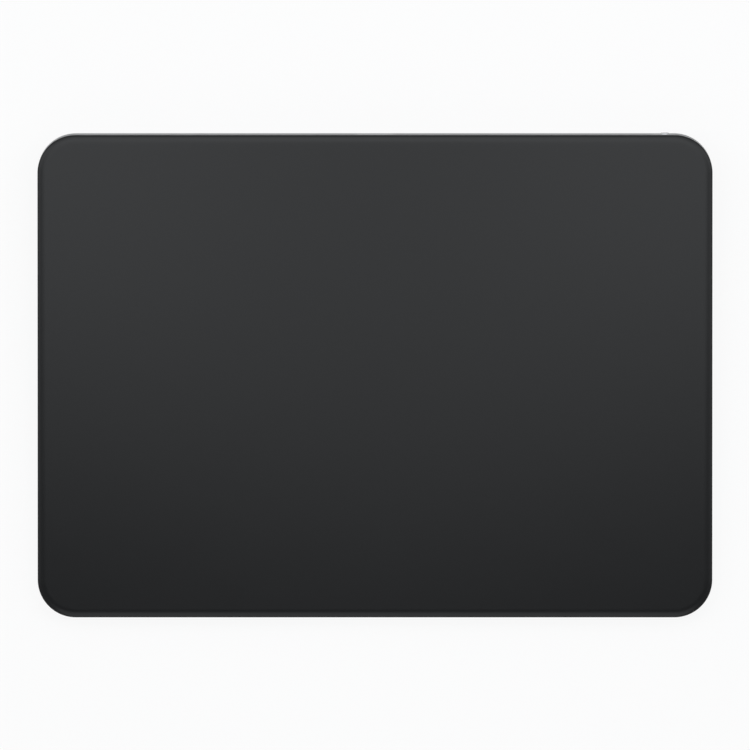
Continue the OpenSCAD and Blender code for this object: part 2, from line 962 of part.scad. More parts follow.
module strain_gauges() {
    color("goldenrod")
    on_slope()
        for (side = [-1, 1], end = [-1, 1])
            translate([side * force_flex_x, end * leg_v, -stack_t - gel_t])
                block(gauge_l, gauge_w, gauge_t);
}

module leg_screws() {
    color("dimgray")
    on_slope()
        for (side = [-1, 1], end = [-1, 1]) {
            seat = normal_w(end * leg_v, web_bottom) + head_lift + head_h;
            translate([side * leg_x, end * leg_v, seat])
                rotate([180, 0, 0])
                    screw(-leg_drop + leg_t - seat);
        }
}

module force_sensor_flex() {
    run = force_flex_y - plan_y(-leg_v, 0);
    reach = force_flex_x - board_w / 2 + force_flex_w;
    color("darkorange")
    both_sides()
        translate([force_flex_x, force_flex_y, web_top])
            linear_extrude(flex_t) {
                translate([-force_flex_w / 2, -run])
                    square([force_flex_w, run]);
                translate([force_flex_w / 2 - reach, 0])
                    square([reach, force_flex_w]);
            }
}

// Haptic engine

module haptic_bracket() {
    color("lightgray")
    difference() {
        translate([0, haptic_y + bracket_lip / 2, web_top])
            plate(core_l + 2 * bracket_ear, haptic_d + bracket_lip, head_r, bracket_t);
        at_haptic_screws()
            cylinder(r = screw_r + screw_gap, h = deep);
    }
}

// Bar with three poles, all of one stamped section
module haptic_core() {
    color("darkslategray")
    translate([0, haptic_y, core_mid]) {
        cube([core_l, bar_d, bar_h], center = true);
        for (x = [-1, 0, 1])
            translate([x * (core_l - pole_t) / 2, 0, 0])
                cube([pole_t, haptic_d, haptic_h], center = true);
    }
}

module haptic_coil(side) {
    color("peru")
    translate([side * coil_x, haptic_y, core_mid])
        rotate([90, 0, 90])
            linear_extrude(coil_l, center = true)
                difference() {
                    rounded(haptic_d, haptic_h, coil_wall);
                    square([bar_d + 2 * slip, bar_h + 2 * slip], center = true);
                }
}

module haptic_coil_left() {
    haptic_coil(-1);
}

module haptic_coil_right() {
    haptic_coil(1);
}

module haptic_screws() {
    color("dimgray")
    at_haptic_screws()
        translate([0, 0, haptic_bed])
            screw(bracket_t + screw_bite);
}

module haptic_flex() {
    groove = web_top - groove_t + flex_t / 2;
    lip = haptic_rear + bracket_lip;
    down = step_path(
        [haptic_rear + slip, haptic_bed + flex_t / 2],
        [lip + 2 * flex_bend, groove],
        lip + flex_bend);
    up = step_path([riser_y - flex_lead, groove], link_end, riser_y);
    color("darkorange")
    translate([-link_x, 0, 0])
        ribbon(concat(down, up), haptic_flex_w);
}

// Battery

module battery_cell() {
    depth = battery_d - terrace_d;
    low = rounded_edge(battery_round);
    high = [
        for (i = [bend_steps : -1 : 0])
            [low[i].x, battery_t - low[i].y]
    ];
    color("dimgray")
    translate([0, battery_front, battery_bed]) {
        translate([0, depth / 2, 0])
            swept(battery_w, depth, battery_r, concat(low, high));
        translate([0, battery_d / 2, 0])
            block(battery_w - 2 * battery_r, battery_d, terrace_t);
    }
}

module battery_tape() {
    color("white")
    both_sides()
        translate([battery_w / 2 - tape_w, battery_y, web_top])
            block(tape_w, battery_d - terrace_d, tape_t);
}

module battery_board() {
    color("darkgreen")
    translate([link_x, guard_y, battery_bed + terrace_t])
        block(guard_w, guard_d, guard_t);
}

module battery_lead() {
    level = battery_bed + terrace_t + guard_t + flex_t / 2;
    color("darkorange")
    translate([link_x, 0, 0])
        ribbon(step_path([guard_y - guard_d / 2, level], link_end, riser_y), lead_w);
}

// Logic board

module logic_board() {
    color("darkgreen")
    on_slope()
        translate([0, 0, -board_drop - board_t])
            difference() {
                translate([0, board_v, 0])
                    plate(board_w, board_d, head_r, board_t);
                at_posts()
                    translate([0, 0, -board_t])
                        cylinder(r = screw_r + screw_gap, h = 3 * board_t);
            }
}

module shield(x) {
    color("silver")
    on_board(x, board_v + link_inset)
        difference() {
            plate(shield_w, shield_d, 2 * shield_t, shield_h);
            translate([0, 0, -shield_t])
                block(shield_w - 2 * shield_t, shield_d - 2 * shield_t, shield_h);
            for (i = [1 : vent_n], side = [-1, 1])
                translate([(i / (vent_n + 1) - 1 / 2) * shield_w, side * shield_d / 4, 0])
                    cylinder(r = vent_r, h = 2 * shield_h, $fn = vent_sides);
        }
}

module processor_shield() {
    shield(shield_x);
}

module radio_shield() {
    shield(-shield_x);
}

module board_connectors() {
    color("ivory") {
        on_board(0, link_v)
            block(sensor_flex_w, link_d, link_h);
        on_board(link_x, link_v)
            block(lead_w, link_d, link_h);
        on_board(-link_x, link_v)
            block(haptic_flex_w, link_d, link_h);
    }
}

module board_screws() {
    color("dimgray")
    for (side = [-1, 1])
        on_board(side * board_screw_x, board_v)
            screw(board_t + screw_bite);
}

// Charge port

module charge_port_shell() {
    color("silver")
    on_rear(0, port_drop)
        translate([0, 0, port_recess])
            linear_extrude(port_l)
                difference() {
                    pill(shell_w, shell_h);
                    pill(port_w, port_h);
                }
}

module charge_port_tongue() {
    root = port_l - tongue_l - port_recess;
    half_t = tongue_t / 2;
    color("black")
    on_rear(0, port_drop) {
        translate([0, 0, port_back - root])
            linear_extrude(root)
                pill(port_w - 2 * slip, port_h - 2 * slip);
        translate([0, 0, port_back - root - tongue_l])
            rotate([90, 0, 90])
                linear_extrude(tongue_w, center = true)
                    polygon([
                        [tongue_bevel - half_t, 0], [half_t - tongue_bevel, 0],
                        [half_t, tongue_bevel], [half_t, tongue_l + root / 2],
                        [-half_t, tongue_l + root / 2], [-half_t, tongue_bevel]
                    ]);
    }
}

module charge_port_contacts() {
    root = port_l - tongue_l - port_recess;
    color("gold")
    on_rear(0, port_drop)
        for (i = [0 : contact_n - 1], face = [-1, 1])
            translate([
                (i - (contact_n - 1) / 2) * contact_pitch,
                face * (tongue_t + contact_t) / 2,
                port_back - root - tongue_l / 2
            ])
                cube([contact_w, contact_t, tongue_l - 2 * contact_pitch], center = true);
}

module port_bracket() {
    hug = port_gap / 2;
    inner_w = shell_w + 2 * hug;
    inner_h = shell_h + 2 * hug;
    span = shell_w + 2 * (strap_t + strap_ear);
    color("lightgray")
    difference() {
        on_rear(0, port_drop)
            translate([0, 0, strap_depth])
                linear_extrude(strap_l)
                    difference() {
                        union() {
                            pill(inner_w + 2 * strap_t, inner_h + 2 * strap_t);
                            translate([-span / 2, -shell_h / 2])
                                square([span, strap_t]);
                        }
                        pill(inner_w, inner_h);
                        translate([-span, -shell_h / 2 - inner_h])
                            square([2 * span, inner_h]);
                    }
        on_slope()
            at_posts()
                translate([0, 0, -board_drop - board_t])
                    cylinder(r = screw_r + screw_gap, h = board_t + 2 * strap_t);
    }
}

module port_screws() {
    color("dimgray")
    for (side = [-1, 1])
        on_board(side * port_screw_x, port_screw_v)
            translate([0, 0, strap_t])
                screw(strap_t + board_t + screw_bite);
}

// Power switch

module stem(gap, h) {
    linear_extrude(h)
        square([stem_w + 2 * gap, stem_h + 2 * gap], center = true);
}

module power_knob() {
    sink = wall - patch_t - slide_gap;
    color("silver")
    on_rear(knob_x, port_drop) {
        translate([0, 0, -knob_proud])
            swept(knob_w, knob_h, knob_h / 2,
                concat(rounded_edge(knob_round), [[0, knob_proud + sink]]));
        translate([0, 0, sink / 2])
            stem(0, slider_depth + slider_t - sink / 2);
    }
}

module switch_slider() {
    color("dimgray")
    on_rear(knob_x, port_drop)
        difference() {
            translate([0, 0, slider_depth]) {
                linear_extrude(slider_t)
                    square([slider_w, knob_h], center = true);
                translate([0, 0, slider_t / 2])
                    linear_extrude(slider_t / 2 + nub_l)
                        difference() {
                            square([nub_w + 2 * stem_w, nub_h], center = true);
                            square([stem_w + 2 * slip, nub_h + slip], center = true);
                        }
            }
            stem(slip, deep);
        }
}

// Room that the stem sweeps through
module stem_slot(gap) {
    square([stem_w + knob_travel + 2 * gap, stem_h + 2 * gap], center = true);
}

module switch_shutter() {
    color("black")
    on_rear(slot_x, port_drop)
        translate([0, 0, wall])
            linear_extrude(shutter_t)
                difference() {
                    pill(slot_w + 2 * shutter_margin, slot_h + 2 * shutter_margin);
                    stem_slot(slide_gap);
                }
}

module indicator_patch() {
    color("limegreen")
    on_rear(slot_x, port_drop)
        translate([0, 0, wall - patch_t])
            linear_extrude(patch_t)
                difference() {
                    intersection() {
                        pill(slot_w - 2 * slip, slot_h - 2 * slip);
                        translate([slot_w / 2 - knob_travel, -slot_h])
                            square([slot_w, 2 * slot_h]);
                    }
                    stem_slot(slide_gap);
                }
}

module switch_body() {
    nub_room = nub_w + 2 * stem_w + knob_travel + 2 * slide_gap;
    color("silver")
    on_rear(slot_x, port_drop)
        translate([0, 0, switch_depth])
            difference() {
                linear_extrude(switch_d)
                    square([switch_w, switch_h], center = true);
                translate([0, 0, -switch_d])
                    linear_extrude(switch_d + nub_l + switch_wall)
                        square([nub_room, nub_h + 2 * slide_gap], center = true);
            }
}

module switch_board() {
    color("darkgreen")
    on_slope()
        translate([0, 0, -board_drop - board_t])
            difference() {
                translate([slot_x, switch_v, 0])
                    plate(switch_board_w, switch_board_d, head_r, board_t);
                at_posts()
                    translate([0, 0, -board_t])
                        cylinder(r = screw_r + screw_gap, h = 3 * board_t);
            }
}

module switch_screws() {
    color("dimgray")
    for (side = [-1, 1])
        on_board(slot_x + side * switch_screw_x, switch_v)
            screw(board_t + screw_bite);
}

// Flat strip across the gap between the two boards
module switch_flex() {
    start = board_w / 2 - flex_lead;
    end = slot_x - switch_screw_x - head_r - screw_gap;
    color("darkorange")
    on_board((start + end) / 2, switch_v)
        block(end - start, switch_flex_w, flex_t);
}

// Antenna

module antenna_carrier() {
    hollow_w = antenna_w - 2 * antenna_wall;
    hollow_d = antenna_d - 2 * antenna_wall;
    color("ivory")
    difference() {
        intersection() {
            on_slope()
                translate([antenna_x, antenna_v, -deep])
                    plate(antenna_w, antenna_d, antenna_wall, deep - antenna_top);
            translate([0, 0, web_top])
                block(2 * body_w, 2 * body_d, deep);
        }
        on_slope()
            translate([antenna_x, antenna_v, -deep])
                block(hollow_w, hollow_d, deep - antenna_top - antenna_wall);
    }
}

// Meandering trace: upright bars, joined in turn along the front and the rear
module antenna_trace() {
    pitch = (antenna_w - 4 * antenna_wall) / (2 * trace_turns);
    reach = antenna_d - 2 * antenna_wall;
    color("orange")
    on_slope()
        translate([antenna_x - trace_turns * pitch, antenna_v, -antenna_top])
            linear_extrude(trace_t)
                for (i = [0 : 2 * trace_turns]) {
                    translate([i * pitch, 0])
                        square([trace_w, reach], center = true);
                    if (i < 2 * trace_turns)
                        translate([(i + 1 / 2) * pitch, (i % 2 - 1 / 2) * (reach - trace_w)])
                            square([pitch, trace_w], center = true);
                }
}

// Round cable that lies on the logic board and ends at the carrier
module antenna_cable() {
    start = antenna_x + antenna_w / 2;
    color("black")
    on_board(start, cable_v)
        translate([0, 0, cable_r])
            rotate([0, 90, 0])
                cylinder(r = cable_r, h = flex_lead - board_w / 2 - start);
}

enclosure();
bottom_cover();
cover_adhesive();
foot_front_left();
foot_front_right();
foot_rear_left();
foot_rear_right();
cover_glass();
sensor_board();
stiffener_plate();
attraction_plates();
gel_pads();
sensor_flex();
force_leg_front_left();
force_leg_front_right();
force_leg_rear_left();
force_leg_rear_right();
strain_gauges();
leg_screws();
force_sensor_flex();
haptic_bracket();
haptic_core();
haptic_coil_left();
haptic_coil_right();
haptic_screws();
haptic_flex();
battery_cell();
battery_tape();
battery_board();
battery_lead();
logic_board();
processor_shield();
radio_shield();
board_connectors();
board_screws();
charge_port_shell();
charge_port_tongue();
charge_port_contacts();
port_bracket();
port_screws();
power_knob();
switch_slider();
switch_shutter();
indicator_patch();
switch_body();
switch_board();
switch_screws();
switch_flex();
antenna_carrier();
antenna_trace();
antenna_cable();
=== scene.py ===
# %% [markdown]
# # A black glass trackpad
#
# The object is a low wedge of silver metal under one sheet of black glass. The
# CAD frame already holds every piece at its real size. This lesson adds the rest:
# a straight-down camera, soft studio light, finishes that look like glass, blasted
# metal, rubber and film, and finer shapes for the few pieces that are wound,
# threaded, rounded or bent.

# %% Load the CAD frame
import json
import math

import bmesh
import bpy
from mathutils import Matrix, Vector

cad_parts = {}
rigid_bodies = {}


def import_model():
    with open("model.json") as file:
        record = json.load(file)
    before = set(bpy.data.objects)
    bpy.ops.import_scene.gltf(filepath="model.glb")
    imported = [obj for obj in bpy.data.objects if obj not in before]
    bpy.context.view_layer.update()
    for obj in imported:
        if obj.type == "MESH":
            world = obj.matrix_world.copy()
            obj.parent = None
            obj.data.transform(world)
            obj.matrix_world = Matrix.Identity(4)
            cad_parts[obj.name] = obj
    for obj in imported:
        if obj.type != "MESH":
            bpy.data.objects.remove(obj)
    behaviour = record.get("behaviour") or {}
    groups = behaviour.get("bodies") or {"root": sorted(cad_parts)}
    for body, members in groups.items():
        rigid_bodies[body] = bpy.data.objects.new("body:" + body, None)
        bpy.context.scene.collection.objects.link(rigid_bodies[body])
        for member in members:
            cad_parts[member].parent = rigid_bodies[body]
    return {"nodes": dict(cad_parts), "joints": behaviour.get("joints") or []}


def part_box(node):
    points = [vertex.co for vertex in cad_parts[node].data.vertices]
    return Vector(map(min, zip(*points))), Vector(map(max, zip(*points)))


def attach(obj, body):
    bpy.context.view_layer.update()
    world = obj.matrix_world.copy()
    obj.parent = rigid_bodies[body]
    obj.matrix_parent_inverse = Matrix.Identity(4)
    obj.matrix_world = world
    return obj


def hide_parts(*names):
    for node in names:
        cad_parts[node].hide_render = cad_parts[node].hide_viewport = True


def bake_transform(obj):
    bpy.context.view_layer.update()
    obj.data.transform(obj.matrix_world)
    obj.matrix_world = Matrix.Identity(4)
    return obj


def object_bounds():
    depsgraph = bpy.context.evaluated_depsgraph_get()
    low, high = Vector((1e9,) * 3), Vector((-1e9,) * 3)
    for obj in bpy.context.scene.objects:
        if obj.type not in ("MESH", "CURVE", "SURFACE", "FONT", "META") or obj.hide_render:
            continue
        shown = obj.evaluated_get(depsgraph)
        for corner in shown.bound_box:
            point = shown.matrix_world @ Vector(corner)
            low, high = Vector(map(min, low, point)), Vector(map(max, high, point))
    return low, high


for leftover in list(bpy.data.objects):
    bpy.data.objects.remove(leftover)

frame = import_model()
cad_low, cad_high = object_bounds()
MM = 0.001
print("CAD box in mm:", [round(side / MM, 2) for side in cad_high - cad_low])

# %% [markdown]
# ## The slope
#
# The glass is tilted, and the walls, the port and the knob are square to it.
# The frame's press joint moves along the glass normal, so its axis gives the
# tilt. Pieces on the slope are easiest to measure and build in a frame that is
# turned back to level, and are then turned into place.

# %% Measure on the slope
press_axis = next(j["axis"] for j in frame["joints"] if j["name"] == "surface_press")
tilt = math.atan2(press_axis[1], -press_axis[2])
SLOPE = Matrix.Rotation(tilt, 4, "X")
LEVEL = SLOPE.inverted()


def points_of(node, turn):
    """Points of a CAD node, turned into another frame."""
    return [turn @ v.co for v in frame["nodes"][node].data.vertices]


def box_of(points):
    """Lowest and highest corner of some points."""
    low = Vector([min(p[axis] for p in points) for axis in range(3)])
    high = Vector([max(p[axis] for p in points) for axis in range(3)])
    return low, high


def slope_box(node):
    """Lowest and highest corner of a CAD node, measured along the slope."""
    return box_of(points_of(node, LEVEL))


glass_low, glass_high = slope_box("cover_glass")
print("Tilt in degrees:", round(math.degrees(tilt), 2))
print("Glass in mm:", [round(side / MM, 2) for side in glass_high - glass_low])

# %% [markdown]
# ## Camera
#
# The photograph looks straight down with no visible perspective. The picture
# is square, and 1 mm on the object covers 4.218 pixels of it.

# %% Place the camera
PIXELS = 750
PIXELS_PER_MM = 4.218
CAMERA_AWAY = 6.0
SENSOR_MM = 36.0

glass_middle = SLOPE @ ((glass_low + glass_high) / 2)
seen_width = PIXELS / PIXELS_PER_MM * MM
camera_data = bpy.data.cameras.new("straight_down_camera")
camera_data.sensor_width = SENSOR_MM
camera_data.lens = SENSOR_MM * CAMERA_AWAY / seen_width
camera_data.clip_end = 2 * CAMERA_AWAY
camera = bpy.data.objects.new("straight_down_camera", camera_data)
camera.location = ((cad_low + cad_high) / 2).to_2d().to_3d()
camera.location.z = glass_middle.z + CAMERA_AWAY
bpy.context.scene.collection.objects.link(camera)
bpy.context.scene.camera = camera
bpy.context.scene.view_settings.view_transform = "Standard"
print("Lens in mm:", round(camera_data.lens, 1))

# %% [markdown]
# ## One helper for nodes, one for colours
#
# Every finish below is a small node tree. One function adds a node, sets its
# sockets and links it, so that a tree reads from top to bottom. Colours are
# written as sRGB hex, as a paint chart gives them, and turned to the linear
# numbers that the renderer needs.

# %% Helpers for materials


def linear(hex_colour):
    """Linear RGBA of an sRGB hex colour."""
    channels = [int(hex_colour[i:i + 2], 16) / 255 for i in (1, 3, 5)]
    return tuple(c / 12.92 if c <= 0.04045 else ((c + 0.055) / 1.055) ** 2.4 for c in channels) + (1.0,)


def add(tree, kind, settings=None, links=None):
    """Add a node. Settings go to sockets, colour stops or properties; links feed sockets."""
    made = tree.nodes.new(kind)
    for key, value in (settings or {}).items():
        if key == "interpolation":
            made.color_ramp.interpolation = value
        elif key == "stops":
            ramp = made.color_ramp.elements
            while len(ramp) < len(value):
                ramp.new(1.0)
            for stop, (place, colour) in zip(ramp, value):
                stop.position = place
                stop.color = linear(colour)
        elif isinstance(key, int) or key in made.inputs:
            made.inputs[key].default_value = value
        else:
            setattr(made, key, value)
    for key, source in (links or {}).items():
        tree.links.new(source, made.inputs[key])
    return made


def new_tree(name):
    """An empty material and its node tree."""
    made = bpy.data.materials.new(name)
    made.use_nodes = True
    made.node_tree.nodes.clear()
    return made, made.node_tree


def dress(material, *nodes):
    """Give CAD nodes a finish."""
    for name in nodes:
        for slot in frame["nodes"][name].material_slots:
            slot.material = material
    print(material.name, "on", len(nodes), "CAD nodes")


# %% [markdown]
# ## A surface with two grains
#
# Most finishes here come from a tool, a mould or a roll, and later from hands. One
# flat colour looks like none of them, and a scan of each would be a picture to
# wrap round every piece. Two layers of noise do it: a fine one at the size of the
# tool's mark, and a slow one from handling. Together they vary the colour and the
# gloss, and the fine one also raises a little bump.

# %% Two grains
# noise stays mostly between these, so colour and gloss are spread over this range
NOISE_LOW, NOISE_HIGH = 0.3, 0.7
GRAIN_BUMP = 0.5
# the slow grain: its size in mm and its share
HANDLING = (12.0, 0.35)


def grained(name, dark, light, grain_mm, roughness, bump_mm=0.0, stretch=(1, 1, 1), cloud=HANDLING,
            **sockets):
    """A surface with a fine grain and a slow one, which is cloud: its size in mm and its share."""
    cloud_mm, cloud_share = cloud
    low, high = roughness
    made, tree = new_tree(name)
    place = add(tree, "ShaderNodeTexCoord")
    mapped = add(tree, "ShaderNodeMapping", {"Scale": stretch}, {"Vector": place.outputs["Object"]})
    grain = add(tree, "ShaderNodeTexNoise", {"Scale": 1 / (grain_mm * MM), "Detail": 3.0},
                {"Vector": mapped.outputs["Vector"]})
    drift = add(tree, "ShaderNodeTexNoise", {"Scale": 1 / (cloud_mm * MM), "Detail": 2.0},
                {"Vector": place.outputs["Object"]})
    both = add(tree, "ShaderNodeMix", {0: cloud_share}, {2: grain.outputs["Fac"], 3: drift.outputs["Fac"]})
    tint = add(tree, "ShaderNodeValToRGB", {"stops": [(NOISE_LOW, dark), (NOISE_HIGH, light)]},
               {"Fac": both.outputs[0]})
    polish = add(tree, "ShaderNodeMapRange",
                 {"From Min": NOISE_LOW, "From Max": NOISE_HIGH, "To Min": low, "To Max": high},
                 {"Value": both.outputs[0]})
    bump = add(tree, "ShaderNodeBump", {"Distance": bump_mm * MM, "Strength": GRAIN_BUMP},
               {"Height": grain.outputs["Fac"]})
    shader = add(tree, "ShaderNodeBsdfPrincipled", sockets, {
        "Base Color": tint.outputs["Color"],
        "Roughness": polish.outputs["Result"],
        "Normal": bump.outputs["Normal"],
    })
    add(tree, "ShaderNodeOutputMaterial", {}, {"Surface": shader.outputs["BSDF"]})
    return made


# %% [markdown]
# ## White floor
#
# The product stands on a white sheet that runs out of the picture. Lighting
# such a sheet until it turns white would wash out the object, so the sheet
# itself gives most of its white to the camera and to reflections. The rest is
# ordinary diffuse paper, which keeps the soft shadow next to the object. Seen
# from below it is clear, so the underside can be looked at.

# %% Floor
FLOOR_REACH = 4.0
FLOOR_CORNERS = 96
# the sheet lies just under the feet, so that no two faces share a plane
FLOOR_GAP = 0.02 * MM
PAPER_GLOW = 0.86

floor_mesh = bpy.data.meshes.new("white_sheet")
floor_bm = bmesh.new()
bmesh.ops.create_circle(floor_bm, cap_ends=True, segments=FLOOR_CORNERS, radius=FLOOR_REACH)
floor_bm.to_mesh(floor_mesh)
floor_bm.free()
floor = bpy.data.objects.new("white_sheet", floor_mesh)
floor.location.z = -FLOOR_GAP
bpy.context.scene.collection.objects.link(floor)

# Matt white paper: an even white with no gloss, and a soft grey where the object shades it.
paper, tree = new_tree("matt_white_paper")
ray = add(tree, "ShaderNodeLightPath")
shiny = add(tree, "ShaderNodeMath", {"operation": "MAXIMUM"},
            {0: ray.outputs["Is Glossy Ray"], 1: ray.outputs["Is Transmission Ray"]})
seen = add(tree, "ShaderNodeMath", {"operation": "MAXIMUM"},
           {0: ray.outputs["Is Camera Ray"], 1: shiny.outputs["Value"]})
glow_share = add(tree, "ShaderNodeMath", {"operation": "MULTIPLY", 1: PAPER_GLOW},
                 {0: seen.outputs["Value"]})
sheet = add(tree, "ShaderNodeBsdfDiffuse", {"Color": linear("#FCFCFC")})
glow = add(tree, "ShaderNodeEmission", {"Color": linear("#FFFFFF"), "Strength": 1.0})
front_side = add(tree, "ShaderNodeMixShader", {}, {
    "Fac": glow_share.outputs["Value"], 1: sheet.outputs["BSDF"], 2: glow.outputs["Emission"]})
clear = add(tree, "ShaderNodeBsdfTransparent")
facing = add(tree, "ShaderNodeNewGeometry")
either_side = add(tree, "ShaderNodeMixShader", {}, {
    "Fac": facing.outputs["Backfacing"], 1: front_side.outputs["Shader"], 2: clear.outputs["BSDF"]})
add(tree, "ShaderNodeOutputMaterial", {}, {"Surface": either_side.outputs["Shader"]})
floor_mesh.materials.append(paper)
print("Floor radius in m:", FLOOR_REACH)

# %% [markdown]
# ## Studio light
#
# Black glass shows little of its own colour: what the eye sees is the reflected
# room. In the photograph the glass is lightest along the rear edge and darkens
# to the front and to the front corners. The camera looks straight down on a
# sheet that is tilted by 3 degrees, so each point of it mirrors the ceiling 6
# degrees further to the front. The ceiling is therefore built from broad, dim
# soft boxes over the rear half, whose edges the etched glass blurs into one
# gradient. The rounded edges look further out: a strip over the rear, a box in
# front and a box on each side light their curves. The room itself is dim
# overhead and pales to white at the horizon, where low views see it. A picture
# of a real studio could light all this at once, but lamps can be moved one by
# one until each edge of the glass looks right.

# %% Room
# colours of the room by the height of the direction: 0 is the horizon, 1 is straight up
ROOM = [(0.0, "#FFFFFF"), (0.08, "#FFFFFF"), (0.22, "#BCBDBE"),
        (0.70, "#A3A4A6"), (0.90, "#9B9C9E"), (0.975, "#656668")]

world = bpy.data.worlds.new("dim_studio")
bpy.context.scene.world = world
world.use_nodes = True
tree = world.node_tree
tree.nodes.clear()
direction = add(tree, "ShaderNodeTexCoord")
parts = add(tree, "ShaderNodeSeparateXYZ", {}, {"Vector": direction.outputs["Generated"]})
shade = add(tree, "ShaderNodeValToRGB", {"stops": ROOM}, {"Fac": parts.outputs["Z"]})
room = add(tree, "ShaderNodeBackground", {"Strength": 1.0}, {"Color": shade.outputs["Color"]})
add(tree, "ShaderNodeOutputWorld", {}, {"Surface": room.outputs["Background"]})
print("Room goes from", ROOM[0][1], "to", ROOM[-1][1])

# %% Soft boxes
LAMP_COLOUR = "#F9FCFF"
SIDES = (("left", -1), ("right", 1))


def soft_box(name, place, aim, size, glow_level, shape="RECTANGLE"):
    """A flat lamp whose face is as bright as glow_level times white."""
    lamp = bpy.data.lights.new(name, "AREA")
    lamp.shape = shape
    lamp.size, lamp.size_y = size
    face = lamp.size * lamp.size_y * (math.pi / 4 if shape == "ELLIPSE" else 1)
    lamp.energy = glow_level * math.pi * face
    lamp.color = linear(LAMP_COLOUR)[:3]
    box = bpy.data.objects.new(name, lamp)
    box.location = place
    box.rotation_euler = (Vector(aim) - Vector(place)).to_track_quat("-Z", "Y").to_euler()
    box.visible_camera = False
    bpy.context.scene.collection.objects.link(box)
    print(name, "power in W:", round(lamp.energy, 2))


soft_box("wide_soft_box", (0, 0.215, 0.50), (0, 0.215, 0), (1.20, 0.60), 0.55, "ELLIPSE")
soft_box("middle_soft_box", (0, 0.13, 0.495), (0, 0.13, 0), (0.34, 0.46), 0.52, "ELLIPSE")
soft_box("rear_strip", (0, 0.145, 0.49), (0, 0.145, 0), (0.62, 0.13), 0.75)
soft_box("rear_soft_box", (0, 0.36, 0.485), (0, 0.30, 0), (0.80, 0.20), 0.25)
soft_box("front_soft_box", (0, -0.40, 0.45), (0, 0, 0), (0.42, 0.36), 0.72)
for hand, side in SIDES:
    soft_box(hand + "_strip", (side * 0.13, 0.02, 0.48), (side * 0.13, 0.02, 0), (0.18, 0.11), 0.62)
    soft_box(hand + "_soft_box", (side * 0.50, 0.12, 0.45), (0, 0, 0), (0.44, 0.40), 0.60)

# %% [markdown]
# ## Metal finishes
#
# A metal shows its surroundings and little else. What sets two metals apart is
# their tint and how their surface was made: blasted, rolled, stamped, drawn or
# plated. Painted pictures could show that, but they would have to be wrapped round
# every piece. Noise fills space at a size in millimetres, so each grain below has
# the size that its process leaves, and stretched along one axis it gives the
# lines of rolling and drawing.

# %% Aluminium
# Milled aluminium, blasted with fine glass beads and anodised clear. The pits are about a tenth of a
# millimetre wide and scatter every reflection, so the wall is an even silver frost. The oxide film
# takes light away at flat angles, which the grey tint does here.
blasted_aluminium = grained("bead_blasted_anodised_aluminium", "#BABBBC", "#CACBCC", 0.12, (0.38, 0.52),
                            0.006, cloud=(30.0, 0.1), Metallic=1.0, **{"Specular Tint": linear("#646466")})
dress(blasted_aluminium, "enclosure")
# Aluminium sheet, etched to a satin and anodised: flatter than the blasted wall, with a wider sheen.
satin_cover = grained("satin_etched_anodised_sheet", "#B6B7BA", "#C8C9CB", 0.25, (0.40, 0.52), 0.004,
                      cloud=(30.0, 0.1), Metallic=1.0)
dress(satin_cover, "bottom_cover")
# Cold-rolled aluminium sheet: the rolls leave fine lines along the plate, so its sheen runs across them.
rolled_aluminium = grained("cold_rolled_aluminium_sheet", "#A4A5A7", "#C2C3C5", 0.5, (0.28, 0.42), 0.003,
                           (1, 0.05, 1), Metallic=1.0)
dress(rolled_aluminium, "stiffener_plate")

# %% Steels
# Annealed soft iron, stamped: dull and dark, with coarse marks of the die.
stamped_iron = grained("stamped_soft_iron", "#59595A", "#7A7B7D", 0.4, (0.38, 0.55), 0.004, (1, 0.2, 1),
                       Metallic=1.0)
dress(stamped_iron, "attraction_plates", "haptic_core")
# Cold-rolled spring steel: hard and bright, with lines along each leg.
spring_steel = grained("cold_rolled_spring_steel", "#868788", "#A6A7A8", 0.3, (0.20, 0.34), 0.002,
                       (0.05, 1, 1), Metallic=1.0)
# Stainless sheet, brushed before it is stamped: a light grey with short lines.
stainless = grained("brushed_stainless_sheet", "#989A9C", "#B8B9BA", 0.3, (0.24, 0.38), 0.003, (1, 0.1, 1),
                    Metallic=1.0)
dress(stainless, "haptic_bracket", "port_bracket")
# Stainless tube, deep drawn and tumbled: the brightest steel here, because its mouth is seen.
drawn_stainless = grained("deep_drawn_stainless", "#A6A7A9", "#C6C7C8", 0.2, (0.16, 0.28), 0.001,
                          (1, 0.1, 1), Metallic=1.0)
dress(drawn_stainless, "charge_port_shell")
# Steel can with a hot tin coat: soft grey, with the cloudy patches of cooled tin.
tin_plate = grained("hot_tinned_steel", "#A8A9A9", "#C6C7C7", 0.8, (0.28, 0.46), 0.003, cloud=(4.0, 0.35),
                    Metallic=1.0)
dress(tin_plate, "processor_shield", "radio_shield", "switch_body")

# %% Copper and gold
# Gold flashed over nickel: a warm mirror with faint wear marks along the contact.
gold_plate = grained("gold_flashed_nickel", "#C4963F", "#E0B866", 0.1, (0.18, 0.32), 0.001, (1, 0.1, 1),
                     Metallic=1.0)
dress(gold_plate, "charge_port_contacts")
# Copper foil, etched to a meander: bright salmon with the slight mottle of the etchant.
etched_copper = grained("etched_copper_foil", "#A4623B", "#C48054", 0.2, (0.26, 0.42), 0.002, Metallic=1.0)
dress(etched_copper, "antenna_trace")

# %% [markdown]
# ## Circuits
#
# Rigid boards, flexible strips and the touch sensor are all printed circuits:
# copper lines on a ground, under a thin lacquer or film. The lines could be cut
# as real strips, at the cost of many thousand faces that lie 0.02 mm high. A
# brick texture draws strips and grids just as well: very long bricks leave only
# parallel tracks of mortar, and square ones make a grid.

# %% Lacquer and lines
LACQUER_MM = 3.0
COPPER_MM = 0.02
COPPER_BUMP = 0.6
# the brick texture's own row height, and how soft the edge of a line is
BRICK_ROW = 0.25
LINE_EDGE = 0.2


